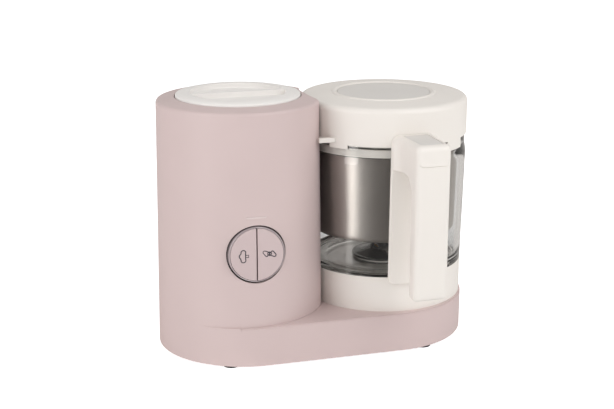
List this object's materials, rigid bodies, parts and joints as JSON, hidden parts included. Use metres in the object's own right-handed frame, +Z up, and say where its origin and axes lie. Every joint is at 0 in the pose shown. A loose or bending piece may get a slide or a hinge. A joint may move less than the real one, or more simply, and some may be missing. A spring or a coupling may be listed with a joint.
{
  "type": "baby food maker",
  "caption": "Countertop steamer and blender for baby food: round steam tower with push buttons, beside a lidded glass jar with handle, steel basket and blade on a shared base.",
  "frame": {"origin": "middle of the overall box in plan, at the table plane under the feet", "axes": "+X from the tower to the jar, -Y the front with the buttons and the handle, +Z up"},
  "size_m": [0.2787, 0.197, 0.223],
  "materials": {
    "pink_shell": "fine matte moulded surface",
    "cream_plastic": "satin moulded surface",
    "grey_pad": "soft matte",
    "silicone": "soft translucent grey",
    "dark_rubber": "matte black",
    "bezel_ring": "smoked translucent",
    "indicator_light": "light diffuser",
    "basket_steel": "vertical brush marks",
    "blade_steel": "dark polished",
    "shaft_steel": "ground",
    "boiler_steel": "deep drawn",
    "cast_aluminium": "as cast",
    "element_sheath": "heat darkened",
    "glass": "clear, thick, faintly green at the foot",
    "bronze": "sintered",
    "board": "solder mask",
    "black_plastic": "glass filled",
    "white_plastic": "natural",
    "motor_metal": "zinc plated"
  },
  "bodies": {
    "base": {"housing": "pink_shell", "jar_deck": "pink_shell", "bottom_cover": "pink_shell", "feet": "dark_rubber", "cover_screws": "shaft_steel", "boiler": "boiler_steel", "boiler_gasket": "silicone", "heater_plate": "cast_aluminium", "heating_element": "element_sheath", "thermostats": "cast_aluminium", "steam_tube": "boiler_steel", "steam_outlet_seal": "silicone", "button_bezel": "bezel_ring", "control_board": "board", "tact_switches": "black_plastic", "indicator_strip": "indicator_light", "lid_sensor": "black_plastic", "terminal_block": "white_plastic", "cord_gland": "dark_rubber", "motor_can": "motor_metal", "motor_bracket": "motor_metal", "motor_screws": "shaft_steel", "drive_belt": "dark_rubber", "bearing_housing": "white_plastic", "drive_bushes": "bronze"},
    "cap_seal": {"tank_cap_gasket": "silicone"},
    "cap": {"tank_cap": "cream_plastic", "tank_cap_plug": "white_plastic"},
    "steam_key": {"steam_button": "pink_shell"},
    "blend_key": {"blend_button": "pink_shell"},
    "motor_rotor": {"motor_shaft": "shaft_steel", "motor_pulley": "black_plastic"},
    "drive_spindle": {"drive_shaft": "shaft_steel", "drive_pulley": "black_plastic", "drive_coupler": "black_plastic"},
    "jar": {"jar_glass": "glass", "jar_collar": "cream_plastic", "jar_seal": "silicone", "blade_holder": "white_plastic", "blade_lock_ring": "black_plastic", "blade_bush": "bronze", "handle": "cream_plastic"},
    "blade_unit": {"blade_shaft": "shaft_steel", "blade": "blade_steel", "driven_coupler": "black_plastic"},
    "basket": {"basket_shell": "basket_steel", "basket_rim": "cream_plastic"},
    "release": {"release_pad": "grey_pad"},
    "lid_insert": {"lid_inner_plate": "white_plastic", "lid_seal": "silicone"},
    "lid": {"lid_shell": "cream_plastic"},
    "center": {"center_cap": "grey_pad", "center_cap_seal": "silicone"}
  },
  "joints": [
    {"name": "tank_cap_lift", "type": "slide", "parent": "base", "child": "cap_seal", "axis": [0, 0, 1], "range_m": [0, 0.06]},
    {"name": "tank_cap_turn", "type": "hinge", "parent": "cap_seal", "child": "cap", "pos_m": [-0.06565, 0.02125, 0.215], "axis": [0, 0, 1], "range_deg": [0, 90]},
    {"name": "steam_press", "type": "slide", "parent": "base", "child": "steam_key", "axis": [0.0436, 0.999, 0], "range_m": [0, 0.0012], "stiffness_N_per_m": 600},
    {"name": "blend_press", "type": "slide", "parent": "base", "child": "blend_key", "axis": [0.0436, 0.999, 0], "range_m": [0, 0.0012], "stiffness_N_per_m": 600},
    {"name": "motor_spin", "type": "hinge", "parent": "base", "child": "motor_rotor", "pos_m": [-0.07365, 0.02125, 0.05], "axis": [0, 0, 1], "continuous": true},
    {"name": "drive_spin", "type": "hinge", "parent": "base", "child": "drive_spindle", "pos_m": [0.06635, 0.02125, 0.03], "axis": [0, 0, 1], "continuous": true},
    {"name": "jar_lift", "type": "slide", "parent": "base", "child": "jar", "axis": [0, 0, 1], "range_m": [0, 0.19]},
    {"name": "blade_spin", "type": "hinge", "parent": "jar", "child": "blade_unit", "pos_m": [0.06635, 0.02125, 0.07], "axis": [0, 0, 1], "continuous": true},
    {"name": "lid_lift", "type": "slide", "parent": "jar", "child": "lid_insert", "axis": [0, 0, 1], "range_m": [0, 0.2]},
    {"name": "lid_turn", "type": "hinge", "parent": "lid_insert", "child": "lid", "pos_m": [0.06635, 0.02125, 0.19], "axis": [0, 0, 1], "range_deg": [0, 30]},
    {"name": "center_cap_lift", "type": "slide", "parent": "lid", "child": "center", "axis": [0, 0, 1], "range_m": [0, 0.05]},
    {"name": "basket_lift", "type": "slide", "parent": "jar", "child": "basket", "axis": [0, 0, 1], "range_m": [0, 0.1]},
    {"name": "release_press", "type": "slide", "parent": "jar", "child": "release", "axis": [0, 0, -1], "range_m": [0, 0.002], "stiffness_N_per_m": 600, "springref_m": -0.0005}
  ],
  "couplings": [
    {"joint": "drive_spin", "follows": "motor_spin", "ratio": 0.5},
    {"joint": "blade_spin", "follows": "motor_spin", "ratio": 0.5},
    {"joint": "basket_lift", "follows": "lid_lift", "ratio": 0.5}
  ]
}
